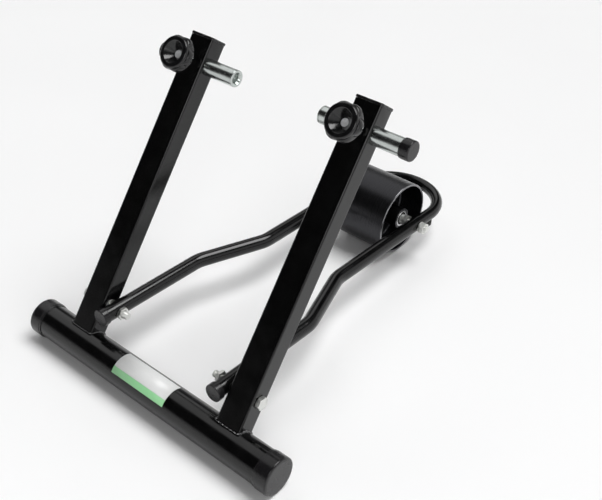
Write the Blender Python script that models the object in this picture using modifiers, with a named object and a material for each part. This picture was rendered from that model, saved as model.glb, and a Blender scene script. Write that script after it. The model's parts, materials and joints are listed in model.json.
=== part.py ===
"""Bicycle trainer for a rear wheel.

A base tube carries two uprights. At the top of each upright a tube slides sideways to grip one end
of the wheel's axle, and a star knob locks it. Near the base the uprights carry a bent U-frame on two
pivot bolts, and a drum turns on an axle across that frame, pressed against the tyre.

The model stands as the empty trainer does, on the end caps of the base tube and on the drum.
X points to the rider's right, Y forward, Z up. The origin is on the floor, under the middle.
"""
import math

import bmesh
import bpy
from mathutils import Matrix, Vector

MM = 0.001

# Clearance between pieces that touch
GAP = 0.3 * MM

# Base tube and its end caps
BASE_RADIUS = 25.4 * MM
BASE_WALL = 2.0 * MM
BASE_LENGTH = 454.0 * MM
BASE_CAP_WALL = 1.5 * MM
BASE_CAP_END = 2.7 * MM
BASE_CAP_SKIRT = 20.0 * MM
BASE_CAP_ROUND = 2.5 * MM

# Uprights, rectangular tubes coped onto the base tube
UPRIGHT_WIDTH = 40.0 * MM
UPRIGHT_DEPTH = 30.0 * MM
UPRIGHT_WALL = 2.0 * MM
UPRIGHT_CORNER = 3.0 * MM
UPRIGHT_HEIGHT = 463.0 * MM
UPRIGHT_INSIDE = 244.0 * MM
PLUG_LIP = 4.2 * MM
PLUG_PROUD = 0.8 * MM
PLUG_STEM = 14.0 * MM
PLUG_ROUND = 1.2 * MM

# Clamp tubes, which slide through the tops of the uprights
CLAMP_UNDER_PLUG = 9.0 * MM
CLAMP_RADIUS = 12.0 * MM
CLAMP_WALL = 2.0 * MM
CLAMP_LENGTH = 134.0 * MM
CLAMP_PROUD = {"right": 56.0 * MM, "left": 46.0 * MM}
CLAMP_CAP_WALL = 1.2 * MM
CLAMP_CAP_END = 2.0 * MM
CLAMP_CAP_SKIRT = 12.0 * MM
CLAMP_CAP_ROUND = 1.5 * MM

# Cups in the inner ends of the clamp tubes, which take the ends of the wheel's axle
CUP_FLANGE = 2.0 * MM
CUP_SHANK = 14.0 * MM
CUP_BORE_RADIUS = 6.5 * MM
CUP_MOUTH_RADIUS = 8.5 * MM
CUP_BORE_DEPTH = 10.0 * MM
CUP_MOUTH_DEPTH = 3.0 * MM

# Threaded hardware, one size for the pivots, the axle and the lock screws
BOLT_RADIUS = 5.0 * MM
NUT_FLATS = 17.0 * MM
NUT_THICKNESS = 8.0 * MM
HEAD_THICKNESS = 6.4 * MM
WASHER_RADIUS = 9.0 * MM
WASHER_THICKNESS = 1.5 * MM
THREAD_TIP = 3.4 * MM
THREAD_CHAMFER = 0.8 * MM

# Lock screws and their star knobs
KNOB_ABOVE_NUT = 13.7 * MM
KNOB_RIM_RADIUS = 23.0 * MM
KNOB_RIM_ROUND = 3.0 * MM
KNOB_RIM_WIDTH = 7.0 * MM
KNOB_HEIGHT = 21.0 * MM
KNOB_BOSS_RADIUS = 13.0 * MM
KNOB_BOSS_HEIGHT = 4.0 * MM
KNOB_DISH_DEPTH = 11.5 * MM
KNOB_LOBES = 6
KNOB_LOBE_RISE = 3.2 * MM
KNOB_NECK = 1.5 * MM
DISC_RADIUS = 5.4 * MM
DISC_THICKNESS = 1.5 * MM

# U-frame: two bent legs on the pivot bolts
PIVOT_HEIGHT = 67.0 * MM
PIVOT_NUT_THICKNESS = 5.0 * MM
PIVOT_THREAD_TIP = 9.0 * MM
OPEN_ANGLE = math.radians(56.1)
LEG_RADIUS = 11.1 * MM
LEG_WALL = 1.3 * MM
LEG_STUB = 29.6 * MM
LEG_BEND_START = 163.0 * MM
LEG_BEND_END = 272.0 * MM
LEG_BEND_RADIUS = 60.0 * MM
LEG_PAST_AXLE = 10.0 * MM
LEG_CAP_WALL = 1.2 * MM
LEG_CAP_END = 2.0 * MM
LEG_CAP_SKIRT = 8.0 * MM
LEG_CAP_ROUND = 1.0 * MM

# Front bow, whose ends slip into the legs, and its rubber pads
BOW_WALL = 1.6 * MM
BOW_STRAIGHT = 42.5 * MM
BOW_INSERT = 24.0 * MM
PAD_FROM_AXLE = 36.0 * MM
PAD_LENGTH = 20.0 * MM
PAD_WIDTH = 12.0 * MM
PAD_DROP = 10.5 * MM
PAD_ROUND = 2.0 * MM

# Roller drum, its bearings and its axle
AXLE_DISTANCE = 474.0 * MM
DRUM_RADIUS = 60.0 * MM
DRUM_LENGTH = 95.0 * MM
DRUM_WALL = 3.5 * MM
DRUM_EDGE_ROUND = 1.5 * MM
WEB_THICKNESS = 8.0 * MM
WEB_FILLET = 3.0 * MM
HUB_WALL = 3.7 * MM
HUB_INSET = 1.5 * MM
BEARING_RADIUS = 13.0 * MM
BEARING_WIDTH = 8.0 * MM
BEARING_RING = 2.2 * MM
BEARING_SEAL_DEPTH = 0.6 * MM
BEARING_SHOULDER = 2.5 * MM
SPACER_RADIUS = 8.0 * MM
AXLE_SPACER_LENGTH = 5.0 * MM

# Fineness of round shapes
DRUM_STEPS = 44
BASE_STEPS = 36
TUBE_STEPS = 24
SMALL_STEPS = 16
LEG_SIDES = 12
LOBE_STEPS = 6
LOBE_LAYERS = 4
FILLET_STEPS = 2
BEND_STEPS = 3
BOW_STEPS = 12
SHARP_ANGLE = math.radians(38.0)

SIDES = (("right", 1), ("left", -1))

# Sizes that follow from the ones above
BASE_CAP_RADIUS = BASE_RADIUS + GAP + BASE_CAP_WALL
UPRIGHT_X = UPRIGHT_INSIDE / 2 + UPRIGHT_WIDTH / 2
UPRIGHT_OUTER_X = UPRIGHT_INSIDE / 2 + UPRIGHT_WIDTH
CLAMP_HEIGHT = UPRIGHT_HEIGHT - PLUG_STEM - CLAMP_UNDER_PLUG - CLAMP_RADIUS
KNOB_STANDOFF = UPRIGHT_DEPTH / 2 + GAP + NUT_THICKNESS + KNOB_ABOVE_NUT
BORE_RADIUS = BOLT_RADIUS + GAP
BOW_RADIUS = LEG_RADIUS - LEG_WALL - GAP
LEG_X = UPRIGHT_INSIDE / 2 - GAP - WASHER_THICKNESS - GAP - LEG_RADIUS
PIVOT_NUT_X = LEG_X - LEG_RADIUS - GAP
HUB_LENGTH = DRUM_LENGTH - 2 * HUB_INSET
HUB_RADIUS = BEARING_RADIUS + GAP + HUB_WALL
HUB_BORE_RADIUS = BEARING_RADIUS - BEARING_SHOULDER
AXLE_SPACER_X = HUB_LENGTH / 2 + GAP
INNER_NUT_X = AXLE_SPACER_X + AXLE_SPACER_LENGTH + GAP
BOW_HALF_WIDTH = INNER_NUT_X + NUT_THICKNESS + GAP + LEG_RADIUS
AXLE_WASHER_X = BOW_HALF_WIDTH + LEG_RADIUS + GAP
AXLE_NUT_X = AXLE_WASHER_X + WASHER_THICKNESS + GAP
AXLE_HALF_LENGTH = AXLE_NUT_X + NUT_THICKNESS + THREAD_TIP
LEG_RISE = math.pi / 2 - OPEN_ANGLE

AXES = {
    "+Z": Matrix.Identity(4),
    "+X": Matrix.Rotation(math.pi / 2, 4, "Y"),
    "-X": Matrix.Rotation(-math.pi / 2, 4, "Y"),
    "-Y": Matrix.Rotation(math.pi / 2, 4, "X"),
}


def flat_radius(radius, steps):
    """Distance from the axis to the flats of a turned piece with this many steps."""
    return radius * math.cos(math.pi / steps)


def lean_angle():
    """How far the uprights lean forward when the trainer rests on its end caps and on its drum."""
    drum_forward = AXLE_DISTANCE * math.cos(LEG_RISE)
    drum_up = PIVOT_HEIGHT + AXLE_DISTANCE * math.sin(LEG_RISE)
    rise = flat_radius(DRUM_RADIUS, DRUM_STEPS) - flat_radius(BASE_CAP_RADIUS, BASE_STEPS)
    return math.acos(rise / math.hypot(drum_forward, drum_up)) - math.atan2(drum_forward, drum_up)


LEAN = lean_angle()
LEG_SLOPE = LEG_RISE - LEAN

# The legs' and the bow's edges lie beside the plane of the U-frame, where the bolts' edges are
LEG_TURN = math.pi / LEG_SIDES / 2


def middle_of_length():
    """Distance from the base tube's axis forward to the middle of the trainer's length."""
    bow_reach = AXLE_DISTANCE + BOW_STRAIGHT + BOW_HALF_WIDTH
    bow_edge = BOW_RADIUS * math.cos(LEG_TURN)
    front = PIVOT_HEIGHT * math.sin(LEAN) + bow_reach * math.cos(LEG_SLOPE) + bow_edge
    return (front - BASE_CAP_RADIUS) / 2


# Scene, materials and placing

def clear_scene():
    for leftover in list(bpy.data.objects):
        bpy.data.objects.remove(leftover, do_unlink=True)


def new_collection(name):
    collection = bpy.data.collections.new(name)
    bpy.context.scene.collection.children.link(collection)
    return collection


def new_material(name, colour, metallic, roughness):
    material = bpy.data.materials.new(name)
    material.use_nodes = True
    material.diffuse_color = (*colour, 1.0)
    shader = material.node_tree.nodes["Principled BSDF"]
    shader.inputs["Base Color"].default_value = (*colour, 1.0)
    shader.inputs["Metallic"].default_value = metallic
    shader.inputs["Roughness"].default_value = roughness
    return material


clear_scene()
PARTS = new_collection("bike_trainer")
CUTTERS = new_collection("cutters")

FINISHES = {
    "black_paint": ((0.020, 0.020, 0.022), 0.0, 0.45),
    "black_plastic": ((0.016, 0.016, 0.017), 0.0, 0.32),
    "black_rubber": ((0.024, 0.024, 0.024), 0.0, 0.80),
    "zinc": ((0.620, 0.620, 0.600), 1.0, 0.30),
    "drum_steel": ((0.420, 0.410, 0.430), 1.0, 0.38),
    "bearing_steel": ((0.550, 0.550, 0.560), 1.0, 0.25),
    "grey_plastic": ((0.480, 0.480, 0.490), 0.0, 0.40),
}


def new_frame(name, parent, at=(0, 0, 0), turn=None):
    """An empty that other pieces are placed in."""
    frame = bpy.data.objects.new(name, None)
    frame.empty_display_size = BASE_RADIUS
    PARTS.objects.link(frame)
    frame.parent = parent
    frame.matrix_basis = Matrix.Translation(at) @ (turn or Matrix.Identity(4))
    return frame


def new_piece(name, mesh, finish, parent, at=(0, 0, 0), along="+Z", phase=0.0):
    """A named piece of the trainer with its own material."""
    mesh.materials.clear()
    mesh.materials.append(new_material(name + "_" + finish, *FINISHES[finish]))
    piece = bpy.data.objects.new(name, mesh)
    PARTS.objects.link(piece)
    place(piece, parent, at, along, phase)
    return piece


def new_cutter(name, mesh, parent, at=(0, 0, 0), along="+Z", phase=0.0):
    """A shape that is cut out of pieces and isn't one itself."""
    cutter = bpy.data.objects.new(name, mesh)
    CUTTERS.objects.link(cutter)
    cutter.hide_render = True
    cutter.display_type = "WIRE"
    place(cutter, parent, at, along, phase)
    return cutter


def place(thing, parent, at, along, phase):
    """Puts a thing in its parent's frame, with its own Z along the named axis."""
    thing.parent = parent
    thing.matrix_basis = Matrix.Translation(at) @ AXES[along] @ Matrix.Rotation(phase, 4, "Z")


def combine(piece, other, operation):
    """Cuts another shape out of a piece, or joins it on."""
    boolean = piece.modifiers.new(operation.lower() + "_" + other.name, "BOOLEAN")
    boolean.operation = operation
    boolean.solver = "EXACT"
    boolean.object = other


def cut(piece, cutter):
    combine(piece, cutter, "DIFFERENCE")


def join(piece, addition):
    combine(piece, addition, "UNION")


# Outlines

def rounded(corners, closed, steps=FILLET_STEPS):
    """The outline through corners (x, y, radius), with an arc in place of each corner that has a radius."""
    points = []
    count = len(corners)
    for index, (x, y, radius) in enumerate(corners):
        at_end = not closed and index in (0, count - 1)
        if at_end or radius <= 0:
            points.append((x, y))
            continue
        corner = Vector((x, y))
        before = Vector(corners[index - 1][:2]) - corner
        after = Vector(corners[(index + 1) % count][:2]) - corner
        points.extend(corner_arc(corner, before.normalized(), after.normalized(), radius, steps))
    return points


def corner_arc(corner, before, after, radius, steps):
    """Points of the arc that touches both sides of a corner."""
    half = before.angle(after) / 2
    centre = corner + (before + after).normalized() * radius / math.sin(half)
    start = corner + before * radius / math.tan(half) - centre
    end = corner + after * radius / math.tan(half) - centre
    sweep = start.angle_signed(end)
    arc = []
    for step in range(steps + 1):
        turned_by = sweep * step / steps
        spoke = Matrix.Rotation(-turned_by, 2) @ start
        arc.append(tuple(centre + spoke))
    return arc


def circle(radius, steps):
    return [(radius * math.cos(math.tau * step / steps), radius * math.sin(math.tau * step / steps))
            for step in range(steps)]


def rectangle(width, depth, corner):
    across = width / 2
    deep = depth / 2
    corners = [(across, -deep, corner), (across, deep, corner),
               (-across, deep, corner), (-across, -deep, corner)]
    return rounded(corners, closed=True)


def hexagon(flats):
    corner = flats / 2 / math.cos(math.pi / 6)
    return circle(corner, 6)


# Solids

def shade(mesh):
    mesh.shade_smooth()
    mesh.set_sharp_from_angle(angle=SHARP_ANGLE)


def evaluated_mesh(scratch):
    """The mesh that a scratch object makes, with its seams welded. The object is removed."""
    bpy.context.scene.collection.objects.link(scratch)
    depsgraph = bpy.context.evaluated_depsgraph_get()
    mesh = bpy.data.meshes.new_from_object(scratch.evaluated_get(depsgraph))
    bpy.data.objects.remove(scratch)
    shape = bmesh.new()
    shape.from_mesh(mesh)
    bmesh.ops.remove_doubles(shape, verts=shape.verts, dist=0.001 * MM)
    shape.to_mesh(mesh)
    shape.free()
    shade(mesh)
    return mesh


def turned(outline, steps, closed=True):
    """A turned solid about Z. The outline's corners (radius, height, fillet) run down the outer side."""
    points = rounded(outline, closed)
    profile = bpy.data.meshes.new("profile")
    edges = [(index, index + 1) for index in range(len(points) - 1)]
    if closed:
        edges.append((len(points) - 1, 0))
    profile.from_pydata([(radius, 0.0, height) for radius, height in points], edges, [])
    scratch = bpy.data.objects.new("profile", profile)
    screw = scratch.modifiers.new("turn", "SCREW")
    screw.axis = "Z"
    screw.angle = math.tau
    screw.steps = steps
    screw.render_steps = steps
    screw.use_merge_vertices = True
    screw.merge_threshold = 0.001 * MM
    return evaluated_mesh(scratch)


def rod(radius, bottom, top, steps=SMALL_STEPS):
    """A round bar along Z."""
    return turned([(0, top, 0), (radius, top, 0), (radius, bottom, 0), (0, bottom, 0)], steps, closed=False)


def threaded_rod(bottom, top):
    """A bar of the bolts' radius along Z, with chamfered ends."""
    end_radius = BOLT_RADIUS - THREAD_CHAMFER
    outline = [(0, top, 0), (end_radius, top, 0), (BOLT_RADIUS, top - THREAD_CHAMFER, 0),
               (BOLT_RADIUS, bottom + THREAD_CHAMFER, 0), (end_radius, bottom, 0), (0, bottom, 0)]
    return turned(outline, SMALL_STEPS, closed=False)


def ring(inner, outer, bottom, top, steps=SMALL_STEPS):
    """A flat-ended sleeve or washer along Z."""
    return turned([(inner, top, 0), (outer, top, 0), (outer, bottom, 0), (inner, bottom, 0)], steps)


def slip_cap(tube_radius, wall, end, skirt, fillet, steps):
    """A moulded cap that slips over a tube whose end is at Z = 0."""
    outer = tube_radius + GAP + wall
    inner = tube_radius + GAP
    outline = [(0, GAP + end, 0), (outer, GAP + end, fillet), (outer, -skirt, 0), (inner, -skirt, 0),
               (inner, GAP, 0), (0, GAP, 0)]
    return turned(outline, steps, closed=False)


def plate(outlines, bottom, top, edge_round=0.0):
    """Flat outlines, the later ones holes in the first, extruded along Z from bottom to top."""
    curve = bpy.data.curves.new("outline", "CURVE")
    curve.dimensions = "2D"
    curve.fill_mode = "BOTH"
    curve.extrude = (top - bottom) / 2 - edge_round
    curve.bevel_depth = edge_round
    curve.offset = -edge_round
    curve.bevel_resolution = 0 if edge_round == 0 else 1
    for outline in outlines:
        spline = curve.splines.new("POLY")
        spline.points.add(len(outline) - 1)
        spline.use_cyclic_u = True
        for point, (x, y) in zip(spline.points, outline):
            point.co = (x, y, 0.0, 1.0)
    mesh = evaluated_mesh(bpy.data.objects.new("outline", curve))
    mesh.transform(Matrix.Translation((0, 0, (bottom + top) / 2)))
    return mesh


def swept(path, radius, filled, turn):
    """A round bar along a path, its facets turned about it, or with no caps the open skin of a tube."""
    curve = bpy.data.curves.new("path", "CURVE")
    curve.dimensions = "3D"
    curve.twist_mode = "Z_UP"
    curve.bevel_depth = radius
    curve.bevel_resolution = (LEG_SIDES - 4) // 2
    curve.use_fill_caps = filled
    spline = curve.splines.new("POLY")
    spline.points.add(len(path) - 1)
    for point, (x, y) in zip(spline.points, path):
        point.co = (x, y, 0.0, 1.0)
        point.tilt = turn
    return evaluated_mesh(bpy.data.objects.new("path", curve))


def tube_wall(piece, wall):
    """Gives the open skin of a tube its wall, inwards."""
    solidify = piece.modifiers.new("wall", "SOLIDIFY")
    solidify.thickness = wall
    solidify.offset = -1.0
    solidify.use_even_offset = True


# Base

def make_base_tube(base):
    half = BASE_LENGTH / 2
    mesh = ring(BASE_RADIUS - BASE_WALL, BASE_RADIUS, -half, half, BASE_STEPS)
    new_piece("base_tube", mesh, "black_paint", base, along="+X", phase=math.pi / BASE_STEPS)


def make_base_caps(base):
    for side, sign in SIDES:
        mesh = slip_cap(BASE_RADIUS, BASE_CAP_WALL, BASE_CAP_END, BASE_CAP_SKIRT, BASE_CAP_ROUND, BASE_STEPS)
        new_piece("base_cap_" + side, mesh, "black_plastic", base, (sign * BASE_LENGTH / 2, 0, 0),
                  "+X" if sign > 0 else "-X", math.pi / BASE_STEPS)


# Uprights

def make_upright(side, sign, uprights):
    outer = rectangle(UPRIGHT_WIDTH, UPRIGHT_DEPTH, UPRIGHT_CORNER)
    inner = rectangle(UPRIGHT_WIDTH - 2 * UPRIGHT_WALL, UPRIGHT_DEPTH - 2 * UPRIGHT_WALL,
                      UPRIGHT_CORNER - UPRIGHT_WALL)
    x = sign * UPRIGHT_X
    upright = new_piece("upright_" + side, plate([outer, inner], 0, UPRIGHT_HEIGHT), "black_paint",
                        uprights, (x, 0, 0))
    reach = UPRIGHT_WIDTH
    cope = rod(BASE_RADIUS + GAP, -reach, reach, BASE_STEPS)
    cut(upright, new_cutter("cope_" + side, cope, uprights, (x, 0, 0), "+X"))
    clamp_hole = rod(CLAMP_RADIUS + GAP, -reach, reach, TUBE_STEPS)
    cut(upright, new_cutter("clamp_hole_" + side, clamp_hole, uprights, (x, 0, CLAMP_HEIGHT), "+X"))
    pivot_hole = rod(BORE_RADIUS, -reach, reach)
    cut(upright, new_cutter("upright_pivot_hole_" + side, pivot_hole, uprights, (x, 0, PIVOT_HEIGHT), "+X"))
    rear_face = UPRIGHT_DEPTH / 2
    screw_hole = rod(BORE_RADIUS, rear_face - 2 * UPRIGHT_WALL, rear_face + UPRIGHT_WALL)
    cut(upright, new_cutter("screw_hole_" + side, screw_hole, uprights, (x, 0, CLAMP_HEIGHT), "-Y"))


def make_upright_plug(side, sign, uprights):
    lip_outline = rectangle(UPRIGHT_WIDTH + 2 * PLUG_PROUD, UPRIGHT_DEPTH + 2 * PLUG_PROUD,
                            UPRIGHT_CORNER + PLUG_PROUD)
    lip = plate([lip_outline], GAP, GAP + PLUG_LIP, PLUG_ROUND)
    stem_width = UPRIGHT_WIDTH - 2 * (UPRIGHT_WALL + GAP)
    stem_depth = UPRIGHT_DEPTH - 2 * (UPRIGHT_WALL + GAP)
    stem = plate([rectangle(stem_width, stem_depth, 0)], -PLUG_STEM, GAP + PLUG_LIP / 2)
    at = (sign * UPRIGHT_X, 0, UPRIGHT_HEIGHT)
    plug = new_piece("upright_plug_" + side, lip, "black_plastic", uprights, at)
    join(plug, new_cutter("plug_stem_" + side, stem, uprights, at))


def make_lock_nut(side, sign, uprights):
    bottom = UPRIGHT_DEPTH / 2 + GAP
    nut = plate([hexagon(NUT_FLATS), circle(BORE_RADIUS, SMALL_STEPS)], bottom, bottom + NUT_THICKNESS)
    new_piece("lock_nut_" + side, nut, "black_paint", uprights, (sign * UPRIGHT_X, 0, CLAMP_HEIGHT), "-Y")


# Pivots

def make_pivot(side, sign, uprights):
    outward = "+X" if sign > 0 else "-X"
    face = (sign * UPRIGHT_OUTER_X, 0, PIVOT_HEIGHT)
    nut_inner_face = PIVOT_NUT_X - PIVOT_NUT_THICKNESS
    shank_end = nut_inner_face - PIVOT_THREAD_TIP - UPRIGHT_OUTER_X
    head = plate([hexagon(NUT_FLATS)], GAP, GAP + HEAD_THICKNESS)
    bolt = new_piece("pivot_bolt_" + side, head, "zinc", uprights, face, outward)
    shank = threaded_rod(shank_end, GAP + HEAD_THICKNESS / 2)
    join(bolt, new_cutter("pivot_shank_" + side, shank, uprights, face, outward))

    centre = (0, 0, PIVOT_HEIGHT)
    washer_top = UPRIGHT_INSIDE / 2 - GAP
    washer = ring(BORE_RADIUS, WASHER_RADIUS, washer_top - WASHER_THICKNESS, washer_top)
    new_piece("pivot_washer_" + side, washer, "zinc", uprights, centre, outward)
    nut = plate([hexagon(NUT_FLATS), circle(BORE_RADIUS, SMALL_STEPS)], nut_inner_face, PIVOT_NUT_X)
    new_piece("pivot_nut_" + side, nut, "zinc", uprights, centre, outward)


# Axle clamps

def make_clamp(side, sign, uprights):
    """The sliding tube, its outer cap and its cup, in a frame at the tube's inner end."""
    outer_end = UPRIGHT_OUTER_X + CLAMP_PROUD[side] - CLAMP_CAP_END - GAP
    inner_end = outer_end - CLAMP_LENGTH
    slide = new_frame("clamp_slide_" + side, uprights, (sign * inner_end, 0, CLAMP_HEIGHT))
    outward = "+X" if sign > 0 else "-X"
    inward = "-X" if sign > 0 else "+X"
    tube = ring(CLAMP_RADIUS - CLAMP_WALL, CLAMP_RADIUS, 0, CLAMP_LENGTH, TUBE_STEPS)
    new_piece("clamp_tube_" + side, tube, "zinc", slide, along=outward)
    cap = slip_cap(CLAMP_RADIUS, CLAMP_CAP_WALL, CLAMP_CAP_END, CLAMP_CAP_SKIRT, CLAMP_CAP_ROUND, TUBE_STEPS)
    new_piece("clamp_cap_" + side, cap, "black_plastic", slide, (sign * CLAMP_LENGTH, 0, 0), outward)

    mouth = GAP + CUP_FLANGE
    floor = mouth - CUP_BORE_DEPTH
    shank_radius = CLAMP_RADIUS - CLAMP_WALL - GAP
    outline = [(0, floor, 0), (CUP_BORE_RADIUS, floor, 0), (CUP_BORE_RADIUS, mouth - CUP_MOUTH_DEPTH, 0),
               (CUP_MOUTH_RADIUS, mouth, 0), (CLAMP_RADIUS, mouth, 0), (CLAMP_RADIUS, GAP, 0),
               (shank_radius, GAP, 0), (shank_radius, -CUP_SHANK, 0), (0, -CUP_SHANK, 0)]
    cup = turned(outline, SMALL_STEPS, closed=False)
    new_piece("axle_cup_" + side, cup, "zinc", slide, along=inward)


def make_lock(side, sign, uprights):
    """The lock screw, its star knob and the disc in the knob's dish, about an axis that points backwards."""
    axis = new_frame("lock_axis_" + side, uprights, (sign * UPRIGHT_X, 0, CLAMP_HEIGHT), AXES["-Y"])
    front = KNOB_STANDOFF + KNOB_HEIGHT
    dish_floor = front - KNOB_DISH_DEPTH
    disc_seat = dish_floor - DISC_THICKNESS
    tip = CLAMP_RADIUS + GAP
    new_piece("lock_screw_" + side, threaded_rod(tip, disc_seat - GAP), "zinc", axis)
    disc = rod(DISC_RADIUS, disc_seat, disc_seat + DISC_THICKNESS)
    new_piece("knob_disc_" + side, disc, "grey_plastic", axis)

    dish_radius = KNOB_RIM_RADIUS - KNOB_RIM_WIDTH
    recess = DISC_RADIUS + GAP
    boss_top = KNOB_STANDOFF + KNOB_BOSS_HEIGHT
    lobe_top = front - KNOB_RIM_ROUND - KNOB_NECK
    lobe_half = (lobe_top - boss_top) / 2
    lobe_middle = boss_top + lobe_half
    lobe_side = []
    for layer in range(LOBE_LAYERS + 1):
        height = lobe_middle + lobe_half * math.cos(math.pi * layer / LOBE_LAYERS)
        lobe_side.append((KNOB_RIM_RADIUS, height, 0))
    outline = [(recess, dish_floor, 0), (dish_radius, front, 0), (KNOB_RIM_RADIUS, front, KNOB_RIM_ROUND),
               *lobe_side, (KNOB_BOSS_RADIUS, boss_top, 0), (KNOB_BOSS_RADIUS, KNOB_STANDOFF, 0),
               (BORE_RADIUS, KNOB_STANDOFF, 0), (BORE_RADIUS, disc_seat - GAP, 0),
               (recess, disc_seat - GAP, 0)]
    mesh = turned(outline, KNOB_LOBES * LOBE_STEPS)
    raise_lobes(mesh, lobe_middle, lobe_half)
    new_piece("lock_knob_" + side, mesh, "black_plastic", axis)


def raise_lobes(mesh, middle, half_height):
    """Swells the outer side of a turned knob into round lobes, fullest at the middle height."""
    for vertex in mesh.vertices:
        x, y, z = vertex.co
        offset = (z - middle) / half_height
        radius = math.hypot(x, y)
        if abs(offset) < 1 and radius > KNOB_RIM_RADIUS - KNOB_RIM_WIDTH:
            lobe = abs(math.cos(KNOB_LOBES / 2 * math.atan2(y, x)))
            swell = 1 + KNOB_LOBE_RISE / radius * lobe * math.sqrt(1 - offset * offset)
            vertex.co = (x * swell, y * swell, z)
    shade(mesh)


# U-frame

def leg_path(sign, start):
    """Centre line of a leg in the frame's plane, from its rear stub to past the axle."""
    corners = [(sign * LEG_X, start, 0), (sign * LEG_X, LEG_BEND_START, LEG_BEND_RADIUS),
               (sign * BOW_HALF_WIDTH, LEG_BEND_END, LEG_BEND_RADIUS),
               (sign * BOW_HALF_WIDTH, AXLE_DISTANCE + LEG_PAST_AXLE, 0)]
    return rounded(corners, closed=False, steps=BEND_STEPS)


def bow_path():
    """Centre line of the bow: a straight end in each leg, and a half circle between them."""
    centre = AXLE_DISTANCE + BOW_STRAIGHT
    path = [(BOW_HALF_WIDTH, AXLE_DISTANCE - BOW_INSERT)]
    for step in range(BOW_STEPS + 1):
        angle = math.pi * step / BOW_STEPS
        path.append((BOW_HALF_WIDTH * math.cos(angle), centre + BOW_HALF_WIDTH * math.sin(angle)))
    path.append((-BOW_HALF_WIDTH, AXLE_DISTANCE - BOW_INSERT))
    return path


def make_leg(side, sign, u_frame, axle_hole):
    tube_end = -LEG_STUB + LEG_CAP_END + GAP
    leg = new_piece("leg_" + side, swept(leg_path(sign, tube_end), LEG_RADIUS, False, sign * LEG_TURN),
                    "black_paint", u_frame)
    tube_wall(leg, LEG_WALL)
    pivot_hole = rod(BORE_RADIUS, -2 * LEG_RADIUS, 2 * LEG_RADIUS)
    cut(leg, new_cutter("leg_pivot_hole_" + side, pivot_hole, u_frame, (sign * LEG_X, 0, 0), "+X"))
    cut(leg, axle_hole)
    cap = slip_cap(LEG_RADIUS, LEG_CAP_WALL, LEG_CAP_END, LEG_CAP_SKIRT, LEG_CAP_ROUND, SMALL_STEPS)
    new_piece("leg_cap_" + side, cap, "black_plastic", u_frame, (sign * LEG_X, tube_end, 0), "-Y")


def make_bow(u_frame, axle_hole):
    bow = new_piece("front_bow", swept(bow_path(), BOW_RADIUS, False, LEG_TURN), "black_paint", u_frame)
    tube_wall(bow, BOW_WALL)
    cut(bow, axle_hole)
    seat = new_cutter("pad_seat", swept(bow_path(), BOW_RADIUS + GAP, True, LEG_TURN), u_frame)
    for side, sign in SIDES:
        half_width = PAD_WIDTH / 2
        block = plate([rectangle(PAD_WIDTH, PAD_LENGTH, half_width - PAD_ROUND)], -BOW_RADIUS - PAD_DROP,
                      -BOW_RADIUS / 2, PAD_ROUND)
        pad = new_piece("bow_pad_" + side, block, "black_rubber", u_frame,
                        (sign * BOW_HALF_WIDTH, AXLE_DISTANCE + PAD_FROM_AXLE, 0))
        cut(pad, seat)


# Roller

def make_axle(u_frame, roller):
    at = (0, AXLE_DISTANCE, 0)
    new_piece("roller_axle", threaded_rod(-AXLE_HALF_LENGTH, AXLE_HALF_LENGTH), "zinc", u_frame, at, "+X")
    sleeve_end = HUB_LENGTH / 2 - BEARING_WIDTH - GAP
    sleeve = ring(BORE_RADIUS, SPACER_RADIUS, -sleeve_end, sleeve_end)
    new_piece("bearing_spacer", sleeve, "zinc", u_frame, at, "+X")
    nut_outlines = [hexagon(NUT_FLATS), circle(BORE_RADIUS, SMALL_STEPS)]
    for side, sign in SIDES:
        outward = "+X" if sign > 0 else "-X"
        spacer = ring(BORE_RADIUS, SPACER_RADIUS, AXLE_SPACER_X, AXLE_SPACER_X + AXLE_SPACER_LENGTH)
        new_piece("axle_spacer_" + side, spacer, "zinc", u_frame, at, outward)
        inner_nut = plate(nut_outlines, INNER_NUT_X, INNER_NUT_X + NUT_THICKNESS)
        new_piece("axle_inner_nut_" + side, inner_nut, "zinc", u_frame, at, outward)
        washer = ring(BORE_RADIUS, WASHER_RADIUS, AXLE_WASHER_X, AXLE_WASHER_X + WASHER_THICKNESS)
        new_piece("axle_washer_" + side, washer, "zinc", u_frame, at, outward)
        outer_nut = plate(nut_outlines, AXLE_NUT_X, AXLE_NUT_X + NUT_THICKNESS)
        new_piece("axle_outer_nut_" + side, outer_nut, "zinc", u_frame, at, outward)
        make_bearing(side, outward, roller)


def make_bearing(side, outward, roller):
    outer_face = HUB_LENGTH / 2
    inner_face = outer_face - BEARING_WIDTH
    inner_ring = BORE_RADIUS + BEARING_RING
    outer_ring = BEARING_RADIUS - BEARING_RING
    seal = outer_face - BEARING_SEAL_DEPTH
    outline = [(BORE_RADIUS, outer_face, 0), (inner_ring, outer_face, 0), (inner_ring, seal, 0),
               (outer_ring, seal, 0), (outer_ring, outer_face, 0), (BEARING_RADIUS, outer_face, 0),
               (BEARING_RADIUS, inner_face, 0), (BORE_RADIUS, inner_face, 0)]
    new_piece("roller_bearing_" + side, turned(outline, SMALL_STEPS), "bearing_steel", roller, along=outward)


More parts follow.
